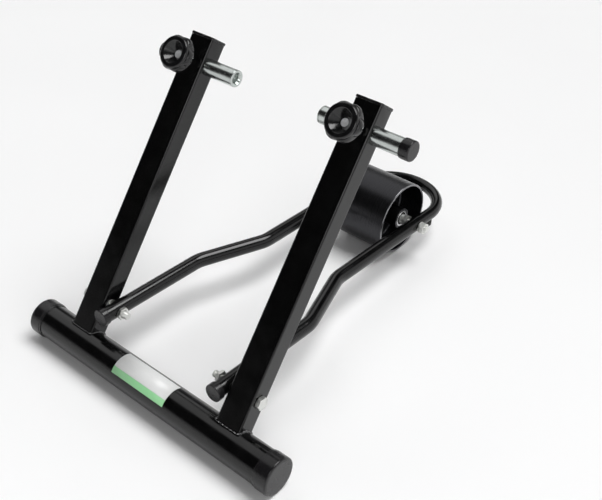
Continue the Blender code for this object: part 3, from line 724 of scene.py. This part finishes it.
def add_piece(name, mesh, finish, body, placing, *nodes):
    """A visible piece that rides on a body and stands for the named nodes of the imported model."""
    material, slot = finish_for(finish)
    mesh.name = name
    mesh.materials.clear()
    mesh.materials.append(material)
    piece = bpy.data.objects.new(name, mesh)
    bpy.context.scene.collection.objects.link(piece)
    piece.matrix_world = placing
    normals = piece.modifiers.new("even_flats", "WEIGHTED_NORMAL")
    normals.keep_sharp = True
    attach(piece, body)
    if nodes:
        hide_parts(*nodes)
    return piece


def cover(prefix, node, mesh, finish, body, placing):
    """A piece that stands for one node, whose name it carries after a prefix."""
    add_piece(prefix + node, mesh, finish, body, placing, node)


def add_fasteners(side, hardware, body, placing, radii):
    """Plated rings and nuts along X. radii has the outer radius of each ring, and None for a nut."""
    for name, radius in radii.items():
        near, far = span(name + side, side)
        if radius:
            mesh = sleeve(hardware.bolt_radius + GAP, radius, near, far, hardware.edge)
        else:
            mesh = nut(hardware, near, far)
        cover("plated_", name + side, mesh, "zinc", body, placing)


# Base

def make_base(base):
    half = base.tube_length / 2
    axis = Matrix.Translation(middle("base_tube"))
    tube = sleeve(base.tube_radius - base.tube_wall, base.tube_radius, -half, half, GAP, LARGE_STEPS)
    cover("painted_", "base_tube", tube, "paint", "stand", axis @ ALONG_X)
    for side, sign in SIGNS.items():
        low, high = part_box("base_cap_" + side)
        cap = slip_cap(base, base.tube_radius + GAP, (high.z - low.z) / 2, base.cap_bead, LARGE_STEPS)
        placing = axis @ Matrix.Translation((sign * half, 0, 0)) @ OUTWARD[side]
        cover("moulded_", "base_cap_" + side, cap, "moulding", "stand", placing)


def make_label(base):
    """A plain film round the rear of the base tube: a white field over one plain stripe."""
    radius = base.tube_radius + base.label_film
    limit = base.label_low + (base.label_high - base.label_low) * base.label_stripe
    for name, finish, low, high in (("label_stripe", "stripe", base.label_low, limit),
                                    ("label_field", "film", limit, base.label_high)):
        def place(u, v):
            angle = low + (high - low) * v
            return (base.label_width * (u - 0.5) - base.label_offset, -radius * math.cos(angle),
                    radius * math.sin(angle))

        sheet = add_piece(name, patch(columns=2, rows=24, place=place), finish, "stand", STAND_AXES)
        film = sheet.modifiers.new("film", "SOLIDIFY")
        film.thickness = base.label_film / 2
        film.offset = -1.0


# Uprights

def make_upright(side, sizes):
    upright, base = sizes.upright, sizes.base
    width, depth, wall = upright.width, upright.depth, upright.wall
    outer = rectangle(width, depth, upright.corner)
    inner = rectangle(width - 2 * wall, depth - 2 * wall, upright.corner - wall)
    tube = loft([at_height(outer, 0), at_height(outer, upright.height), at_height(inner, upright.height),
                 at_height(inner, 0)], cyclic=True)
    clamp_height = in_stand("clamp_tube_" + side).z
    bore = sizes.hardware.bolt_radius + GAP
    holes = [hole(base.tube_radius + GAP, width, (0, 0, 0)),
             hole(sizes.clamp.tube_radius + GAP, width, (0, 0, clamp_height)),
             hole(bore, width, (0, 0, in_stand("pivot_nut_" + side).z)),
             hole(bore, 2 * wall, (0, -depth / 2, clamp_height), REARWARD)]
    placing = on_stand(in_stand("lock_nut_" + side).x, 0)
    cover("painted_", "upright_" + side, carved(tube, holes), "paint", "stand", placing)
    add_piece("foot_weld_" + side, weld_bead(outer, base.tube_radius, upright), "weld", "stand", placing)


def weld_bead(outline, tube_radius, upright):
    """A rippled bead where an upright's outline meets the base tube."""
    ripple_samples = 6
    sides = 10
    least, ripple, unevenness = 0.80, 0.20, 0.05
    unevenness_turn = 0.37
    loops = []
    for index, (start, direction) in enumerate(walk(outline, upright.weld_ripple / ripple_samples)):
        x, y = start
        centre = Vector((x, y, math.sqrt(max(tube_radius ** 2 - y ** 2, 0.0))))
        outside = Vector((direction.y, -direction.x, 0.0))
        slope = Vector((0.0, y, centre.z)).normalized()
        phase = (index % ripple_samples) / ripple_samples
        swell = least + ripple * math.sqrt(1 - phase) + unevenness * math.sin(index * unevenness_turn)
        loops.append([tuple(centre + (outside * x + slope * y) * upright.weld * swell)
                      for x, y, z in circle(1.0, 0, sides)])
    return loft(loops, cyclic=True)


def walk(outline, spacing):
    """Evenly spaced points round a closed outline, each with its direction."""
    points = [Vector(point) for point in outline]
    sides = list(zip(points, points[1:] + points[:1]))
    total = sum((end - start).length for start, end in sides)
    count = round(total / spacing)
    steps = []
    walked = 0.0
    for start, end in sides:
        side = end - start
        while len(steps) < count and len(steps) * total / count <= walked + side.length:
            along = (len(steps) * total / count - walked) / side.length
            steps.append(((start + side * along)[:], side.normalized()))
        walked += side.length
    return steps


def make_plug(side, sizes):
    """A plug whose lip covers the cut end of the upright, with a softly crowned top."""
    upright = sizes.upright
    crown_steps = 4
    proud, edge = upright.plug_proud, upright.plug_round
    shoulder = upright.plug_lip + GAP - upright.plug_crown
    widest = upright.depth / 2 + proud - GAP
    stem = proud + upright.wall + GAP
    crown = [(widest + (edge - widest) * step / crown_steps,
              shoulder + upright.plug_crown * (1 - (step / crown_steps) ** 2)) for step in range(crown_steps)]
    rows = [*crown, *((inset, shoulder - drop) for inset, drop in rounding(edge)), (0, 2 * GAP), (GAP, GAP),
            (stem, GAP), (stem, -upright.plug_lip)]
    plug = block(upright.width + 2 * proud, upright.depth + 2 * proud, upright.corner + proud, rows)
    add_piece("moulded_plug_" + side, plug, "moulding", "stand",
              on_stand(in_stand("lock_nut_" + side).x, upright.height), "upright_plug_" + side)


def make_lock_nut(side, sizes):
    place = in_stand("lock_nut_" + side)
    bottom = sizes.upright.depth / 2 + GAP
    mesh = nut(sizes.hardware, bottom, bottom + sizes.hardware.nut_thickness)
    cover("painted_", "lock_nut_" + side, mesh, "paint", "stand", on_stand(place.x, place.z, REARWARD))


# Pivots

def make_pivot(side, sizes):
    hardware = sizes.hardware
    bolt, depth, edge = hardware.bolt_radius, hardware.thread_depth, hardware.edge
    flats = hardware.across_flats
    height = in_stand("pivot_nut_" + side).z
    face = abs(in_stand("lock_nut_" + side).x) + sizes.upright.width / 2
    tip = span("pivot_bolt_" + side, side)[0] - face
    top = GAP + hardware.head_thickness
    rim = flats / 2 - GAP
    dish = flats / 2 - 2 * depth
    thread_top = tip + hardware.nut_thickness + 2 * hardware.thread_pitch
    loops = [circle(0, top - edge), circle(dish - edge, top - edge), circle(dish, top), circle(rim, top),
             hexagon(flats, top, -1), hexagon(flats, GAP, 1), circle(rim, GAP), circle(bolt, GAP),
             circle(bolt, thread_top + depth), *thread_loops(hardware, thread_top, tip), circle(0, tip)]
    cover("plated_", "pivot_bolt_" + side, loft(loops), "zinc", "stand", beside(side, face, height))
    add_fasteners(side, hardware, "stand", beside(side, 0, height),
                  {"pivot_washer_": hardware.washer_radius, "pivot_nut_": None})


# Clamps

def make_clamp(side, sizes):
    clamp = sizes.clamp
    body = "clamp_" + side
    height = in_stand("clamp_tube_" + side).z
    near, far = span("clamp_tube_" + side, side)
    radius = clamp.tube_radius
    inner = radius - clamp.tube_wall
    tube = sleeve(inner, radius, 0, far - near, GAP, TUBE_STEPS)
    cover("plated_", "clamp_tube_" + side, tube, "tube_zinc", body, beside(side, near, height))
    cap = slip_cap(clamp, radius + GAP, radius + GAP + clamp.cap_wall)
    cover("moulded_", "clamp_cap_" + side, cap, "moulding", body, beside(side, far, height))

    flange_round, floor_round = 0.6 * MM, 0.5 * MM
    mouth = GAP + clamp.cup_flange
    floor = mouth - clamp.cup_depth
    shank = inner - GAP
    shank_end = near - span("axle_cup_" + side, side)[1]
    cup = turned([(0, floor, 0), (clamp.cup_bore, floor, floor_round),
                  (clamp.cup_bore, mouth - clamp.cup_cone, GAP), (clamp.cup_mouth, mouth, GAP),
                  (radius, mouth, flange_round), (radius, GAP, 0), (shank, GAP, 0), (shank, shank_end, 0),
                  (0, shank_end, 0)], TUBE_STEPS)
    cover("turned_", "axle_cup_" + side, cup, "tube_zinc", body, beside(side, near, height, INWARD))


# Locks

def make_lock(side, sizes):
    """The lock screw and the star knob, and the disc in the knob's dish, along the lock's axis."""
    lock, hardware = sizes.lock, sizes.hardware
    place = in_stand("lock_nut_" + side)
    placing = on_stand(place.x, place.z, REARWARD)
    back = min((vertex.co - placing.translation).dot(LOCK_OUTWARD)
               for vertex in frame["nodes"]["lock_knob_" + side].data.vertices)
    add_piece("moulded_star_knob_" + side, star_knob(lock, hardware, back), "knob", "lock_" + side, placing,
              "lock_knob_" + side)

    top = back + lock.height - lock.dish_depth
    seat = top - lock.disc_thickness
    tip = sizes.clamp.tube_radius + GAP
    thread_end = back + hardware.thread_pitch
    screw = loft([circle(0, seat - GAP), circle(hardware.bolt_radius, seat - GAP),
                  circle(hardware.bolt_radius, thread_end), *thread_loops(hardware, thread_end - GAP, tip),
                  circle(0, tip)])
    cover("plated_", "lock_screw_" + side, screw, "zinc", "lock_" + side, placing)

    radius = lock.disc_radius
    hollow, hollow_edge = 0.55 * radius, 0.62 * radius
    disc = turned([(0, top - GAP, 0), (hollow, top - GAP, GAP), (hollow_edge, top, GAP),
                   (radius, top, 2 * GAP), (radius, seat, 0), (0, seat, 0)])
    add_piece("knob_middle_disc_" + side, disc, "disc", "lock_travel_" + side, placing, "knob_disc_" + side)


def star_knob(lock, hardware, back):
    """A knob with a smooth rim in front, round lobes behind it and a dished front."""
    steps_per_lobe = 20
    lobe_layers = 14
    ledge = 2 * MM
    rim = lock.rim_radius
    front = back + lock.height
    floor = front - lock.dish_depth
    seat = floor - lock.disc_thickness - GAP
    boss_top = back + lock.boss_height
    lobe_top = front - lock.rim_round - lock.neck
    recess = lock.disc_radius + GAP
    bore = hardware.bolt_radius + GAP
    profile = rounded([(recess, floor, 0), (rim - lock.rim_width, front, lock.rim_round / 2),
                       (rim, front, lock.rim_round), (rim, lobe_top, 0)])
    layers = [(radius, height, 0.0) for radius, height in profile]
    for layer in range(1, lobe_layers):
        angle = math.pi * layer / lobe_layers
        layers.append((rim, boss_top + (lobe_top - boss_top) / 2 * (1 + math.cos(angle)), math.sin(angle)))
    layers.extend((radius, height, 0.0) for radius, height in (
        (rim, boss_top), (rim - ledge, boss_top), (lock.boss_radius, boss_top), (lock.boss_radius, back),
        (bore, back), (bore, seat), (recess, seat)))
    loops = [ring(lambda angle: radius + swell * lock.lobe_rise * abs(math.cos(lock.lobes / 2 * angle)),
                  height, lock.lobes * steps_per_lobe) for radius, height, swell in layers]
    return loft(loops, cyclic=True)


# U-frame

def make_leg(side, sizes):
    u_frame = sizes.u_frame
    leg_x = in_u_frame("leg_cap_" + side).x
    bow_x = in_u_frame("bow_pad_" + side).x
    axle = TO_ROLLER.length
    radius, bend = u_frame.leg_radius, u_frame.bend_radius
    tube_end = -u_frame.leg_stub + u_frame.cap_end + GAP
    path = rounded([(leg_x, tube_end, 0), (leg_x, u_frame.first_bend, bend),
                    (bow_x, u_frame.second_bend, bend), (bow_x, axle + u_frame.past_axle, 0)],
                   steps=BEND_STEPS)
    holes = [hole(sizes.hardware.bolt_radius + GAP, 2 * radius, place)
             for place in ((leg_x, 0, 0), (bow_x, axle, 0))]
    leg = carved(tube_along(path, radius, u_frame.leg_wall), holes)
    cover("painted_", "leg_" + side, leg, "paint", "u_frame", PIVOT_AXES)
    cap = slip_cap(u_frame, radius + GAP, radius + GAP + u_frame.cap_wall)
    cover("moulded_", "leg_cap_" + side, cap, "moulding", "u_frame", on_u_frame(leg_x, tube_end, REARWARD))


def make_bow(sizes):
    u_frame = sizes.u_frame
    radius = u_frame.leg_radius - u_frame.leg_wall - GAP
    half = in_u_frame("bow_pad_right").x
    axle = TO_ROLLER.length
    centre = axle + u_frame.bow_straight
    path = [(half, axle - u_frame.bow_insert), (-half, axle - u_frame.bow_insert)]
    for step in range(BOW_STEPS + 1):
        angle = math.pi * step / BOW_STEPS
        path.insert(-1, (half * math.cos(angle), centre + half * math.sin(angle)))
    holes = [hole(sizes.hardware.bolt_radius + GAP, 2 * half, (0, axle, 0))]
    bow = carved(tube_along(path, radius, u_frame.bow_wall), holes)
    cover("painted_", "front_bow", bow, "paint", "u_frame", PIVOT_AXES)
    for side, sign in SIGNS.items():
        placing = on_u_frame(sign * half, axle + u_frame.pad_place)
        add_piece("rubber_pad_" + side, pad(u_frame, radius), "rubber", "u_frame", placing, "bow_pad_" + side)


def pad(u_frame, radius):
    """A rubber block under the bow, rounded on every edge and hollowed to sit on the tube."""
    half = u_frame.pad_width / 2
    edge = u_frame.pad_round
    bottom = -radius - u_frame.pad_drop
    rows = [(half - GAP, bottom), *((inset, bottom + rise) for inset, rise in rounding(edge)),
            (0, -radius / 2 - edge), (edge / 2, -radius / 2)]
    rubber = block(u_frame.pad_width, u_frame.pad_length, half - edge, rows)
    return carved(rubber, [hole(radius + GAP, u_frame.pad_length, (0, 0, 0), REARWARD)])


# Roller

def make_axle(sizes):
    hardware, roller = sizes.hardware, sizes.roller
    axes = axes_at(ROLLER, TO_ROLLER.normalized())
    tip = span("roller_axle")[1]
    thread_end = span("axle_washer_right")[0]
    plain = thread_end - hardware.thread_depth
    radius = hardware.bolt_radius
    axle = loft([circle(0, tip), *thread_loops(hardware, tip, thread_end), circle(radius, plain),
                 circle(radius, -plain), *thread_loops(hardware, -thread_end, -tip), circle(0, -tip)])
    cover("plated_", "roller_axle", axle, "zinc", "u_frame", axes @ ALONG_X)
    add_fasteners("", hardware, "u_frame", axes @ ALONG_X, {"bearing_spacer": roller.spacer_radius})
    for side in SIGNS:
        add_fasteners(side, hardware, "u_frame", axes @ OUTWARD[side],
                      {"axle_spacer_": roller.spacer_radius, "axle_inner_nut_": None,
                       "axle_washer_": hardware.washer_radius, "axle_outer_nut_": None})


def make_drum(sizes):
    """The drum, with a web in its middle and a hub whose ends hold the bearings."""
    roller = sizes.roller
    fillet, inner_edge = roller.web_fillet, 0.6 * MM
    radius = ROLLER.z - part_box("roller_drum")[0].z
    half = roller.drum_length / 2
    shell = radius - roller.drum_wall
    web = roller.web_thickness / 2
    seat = roller.bearing_radius + GAP
    hub, hub_radius = half - roller.hub_inset, seat + roller.hub_wall
    seat_end = hub - roller.bearing_width - GAP
    outside = [(seat, hub, GAP), (hub_radius, hub, inner_edge), (hub_radius, web, fillet),
               (shell, web, fillet), (shell, half, inner_edge), (radius, half, roller.drum_round)]
    bore = [(roller.bearing_radius - roller.shoulder, seat_end, 0), (seat, seat_end, 0)]
    mirrored = [(x, -y, corner) for x, y, corner in [*reversed(outside), *reversed(bore)]]
    placing = Matrix.Translation(ROLLER)
    drum = turned(outside + mirrored + bore, LARGE_STEPS, closed=True)
    cover("turned_", "roller_drum", drum, "drum", "roller", placing @ ALONG_X)
    for side in SIGNS:
        make_bearing(side, sizes, placing @ OUTWARD[side])


def make_bearing(side, sizes, placing):
    roller, edge = sizes.roller, sizes.hardware.edge
    radius = roller.bearing_radius
    bore = sizes.hardware.bolt_radius + GAP
    near, far = span("roller_bearing_" + side, side)
    inner, outer = bore + roller.bearing_ring, radius - roller.bearing_ring
    seal = far - roller.seal_depth
    outline = [(bore, far, edge), (inner, far, edge), (inner, seal - edge, 0), (outer, seal - edge, 0),
               (outer, far, edge), (radius, far, edge), (radius, near, edge), (bore, near, edge)]
    add_piece("ground_bearing_" + side, turned(outline, closed=True), "bearing", "roller", placing,
              "roller_bearing_" + side)
    add_piece("bearing_seal_" + side, sleeve(inner, outer, seal - edge, seal, 0), "rubber", "roller", placing)


# Stage

def remove_startup_objects():
    for name in ("Cube", "Camera", "Light"):
        leftover = bpy.data.objects.get(name)
        if leftover:
            bpy.data.objects.remove(leftover)


def make_floor(stage, colours):
    """A wide disc of pale paper, a little mottled."""
    thickness = 20 * MM
    disc = loft([circle(stage.floor_radius, height, LARGE_STEPS) for height in (-thickness, 0.0)])
    disc.materials.append(new_finish("floor_paper", colours.floor, (3.0, 2.0), (0.80, 0.90), 0.01,
                                     [(600.0, 2.0)], (0.995, 1.005), specular=0.2))
    floor = bpy.data.objects.new("studio_floor", disc)
    bpy.context.scene.collection.objects.link(floor)


def make_lamp(name, kind, place, power, **settings):
    """A lamp in its place, aimed at the middle of the floor."""
    lamp = bpy.data.lights.new(name, kind)
    lamp.energy = power
    for setting, value in settings.items():
        setattr(lamp, setting, value)
    holder = bpy.data.objects.new(name, lamp)
    holder.location = place
    holder.rotation_mode = "QUATERNION"
    holder.rotation_quaternion = (-Vector(place)).to_track_quat("-Z", "Y")
    bpy.context.scene.collection.objects.link(holder)


def make_world(stage):
    """A studio with a pale horizon, a pale wall at the right and a soft box in a dark ceiling."""
    wall_rise = (0.5, 0.15, 0.0)
    pale, dark = (0.85, 0.85, 0.85), (0.02, 0.02, 0.02)
    wall_top, ceiling = 0.06, 0.27
    # Edges of the soft box: an axis, where it is dark and where it is bright
    box_edges = (("Z", 0.38, 0.50), ("X", -0.30, -0.42), ("X", -0.84, -0.72), ("Y", -0.22, -0.10))
    world = bpy.data.worlds.new("studio")
    nodes = Nodes(world)
    direction = nodes.add("TexCoord", {})["Generated"]
    split = nodes.add("SeparateXYZ", {"Vector": direction})
    rise = nodes.add("VectorMath", {0: direction, 1: wall_rise}, operation="DOT_PRODUCT")["Value"]
    above_wall = nodes.calculate("SUBTRACT", split["Z"], nodes.calculate("MAXIMUM", rise, 0.0))
    room = nodes.tree.nodes["Background"]
    darkness = nodes.spread(above_wall, 0.0, 1.0, wall_top, ceiling)
    nodes.feed(room, {"Color": nodes.blend(darkness, pale, dark)})
    strength = stage.soft_box
    for axis, outside, inside in box_edges:
        strength = nodes.calculate("MULTIPLY", strength, nodes.spread(split[axis], 0.0, 1.0, outside, inside))
    box = nodes.add("Background", {"Strength": strength})["Background"]
    studio = nodes.add("AddShader", {0: room.outputs["Background"], 1: box})["Shader"]
    nodes.feed(nodes.tree.nodes["World Output"], {"Surface": studio})
    bpy.context.scene.world = world


def make_camera(stage):
    camera = bpy.data.cameras.new("camera")
    camera.sensor_width = 36.0
    camera.lens = stage.lens
    camera.shift_x, camera.shift_y = stage.shift
    camera.clip_end = 50.0
    holder = bpy.data.objects.new("camera", camera)
    turn = Matrix.Rotation(stage.azimuth, 4, "Z") @ Matrix.Rotation(math.pi / 2 - stage.elevation, 4, "X")
    holder.matrix_world = Matrix.Translation(stage.eye) @ turn @ Matrix.Rotation(stage.roll, 4, "Z")
    bpy.context.scene.collection.objects.link(holder)
    bpy.context.scene.camera = holder


# Operators

def on_both_sides(context, *makers):
    """Makes the pieces of the right side and then those of the left."""
    for side in SIGNS:
        for make in makers:
            make(side, context.scene.trainer)
    return {"FINISHED"}


class TRAINER_OT_stage(bpy.types.Operator):
    """Sets up the floor, the lamps, the world and the camera"""
    bl_idname = "trainer.stage"
    bl_label = "Studio"

    def execute(self, context):
        stage = context.scene.trainer.stage
        remove_startup_objects()
        make_floor(stage, context.scene.trainer.colours)
        make_lamp("key_light", "SUN", place=(0.5, 0.7, 2.0), power=stage.key_strength, angle=stage.key_angle)
        make_lamp("fill_panel", "AREA", place=(1.7, -1.9, 1.9), power=stage.fill_power, size=1.2)
        make_world(stage)
        make_camera(stage)
        context.scene.view_settings.view_transform = "Standard"
        return {"FINISHED"}


class TRAINER_OT_base(bpy.types.Operator):
    """Models the base tube, its end caps and its label"""
    bl_idname = "trainer.base"
    bl_label = "Base"

    def execute(self, context):
        make_base(context.scene.trainer.base)
        make_label(context.scene.trainer.base)
        return {"FINISHED"}


class TRAINER_OT_uprights(bpy.types.Operator):
    """Models the uprights, the welds at their feet, their plugs and their lock nuts"""
    bl_idname = "trainer.uprights"
    bl_label = "Uprights"

    def execute(self, context):
        return on_both_sides(context, make_upright, make_plug, make_lock_nut)


class TRAINER_OT_pivots(bpy.types.Operator):
    """Models the hinge bolts, their washers and their nuts"""
    bl_idname = "trainer.pivots"
    bl_label = "Pivots"

    def execute(self, context):
        return on_both_sides(context, make_pivot)


class TRAINER_OT_clamps(bpy.types.Operator):
    """Models the sliding tubes, their caps and the cups in their inner ends"""
    bl_idname = "trainer.clamps"
    bl_label = "Axle clamps"

    def execute(self, context):
        return on_both_sides(context, make_clamp)


class TRAINER_OT_locks(bpy.types.Operator):
    """Models the star knobs, their screws and the discs in their dishes"""
    bl_idname = "trainer.locks"
    bl_label = "Locks"

    def execute(self, context):
        return on_both_sides(context, make_lock)


class TRAINER_OT_u_frame(bpy.types.Operator):
    """Models the bent legs, their caps, the front bow and its rubber pads"""
    bl_idname = "trainer.u_frame"
    bl_label = "U-frame"

    def execute(self, context):
        on_both_sides(context, make_leg)
        make_bow(context.scene.trainer)
        return {"FINISHED"}


class TRAINER_OT_roller(bpy.types.Operator):
    """Models the drum, its bearings, its axle and the axle's nuts"""
    bl_idname = "trainer.roller"
    bl_label = "Roller"

    def execute(self, context):
        make_axle(context.scene.trainer)
        make_drum(context.scene.trainer)
        return {"FINISHED"}


OPERATORS = (TRAINER_OT_stage, TRAINER_OT_base, TRAINER_OT_uprights, TRAINER_OT_pivots, TRAINER_OT_clamps,
             TRAINER_OT_locks, TRAINER_OT_u_frame, TRAINER_OT_roller)


class TRAINER_PT_sidebar(bpy.types.Panel):
    """Lists the trainer's groups of pieces and their sizes"""
    bl_idname = "TRAINER_PT_sidebar"
    bl_label = "Bicycle Trainer"
    bl_space_type = "VIEW_3D"
    bl_region_type = "UI"
    bl_category = "Trainer"

    def draw(self, context):
        column = self.layout.column(align=True)
        for operator in OPERATORS:
            column.operator(operator.bl_idname, text=operator.bl_label)
        for group_name in TrainerSettings.__annotations__:
            group = getattr(context.scene.trainer, group_name)
            box = self.layout.box()
            box.label(text=label_of(group_name))
            for size_name in type(group).__annotations__:
                box.prop(group, size_name)


CLASSES = (BaseSizes, UprightSizes, HardwareSizes, ClampSizes, LockSizes, FrameSizes, RollerSizes,
           FinishColours, StageSettings, TrainerSettings, *OPERATORS, TRAINER_PT_sidebar)


def register():
    for registered in CLASSES:
        bpy.utils.register_class(registered)
    bpy.types.Scene.trainer = PointerProperty(type=TrainerSettings)


def unregister():
    del bpy.types.Scene.trainer
    for registered in reversed(CLASSES):
        bpy.utils.unregister_class(registered)


def main():
    register()
    bpy.ops.trainer.stage()
    bpy.ops.trainer.base()
    bpy.ops.trainer.uprights()
    bpy.ops.trainer.pivots()
    bpy.ops.trainer.clamps()
    bpy.ops.trainer.locks()
    bpy.ops.trainer.u_frame()
    bpy.ops.trainer.roller()


if __name__ == "__main__":
    main()
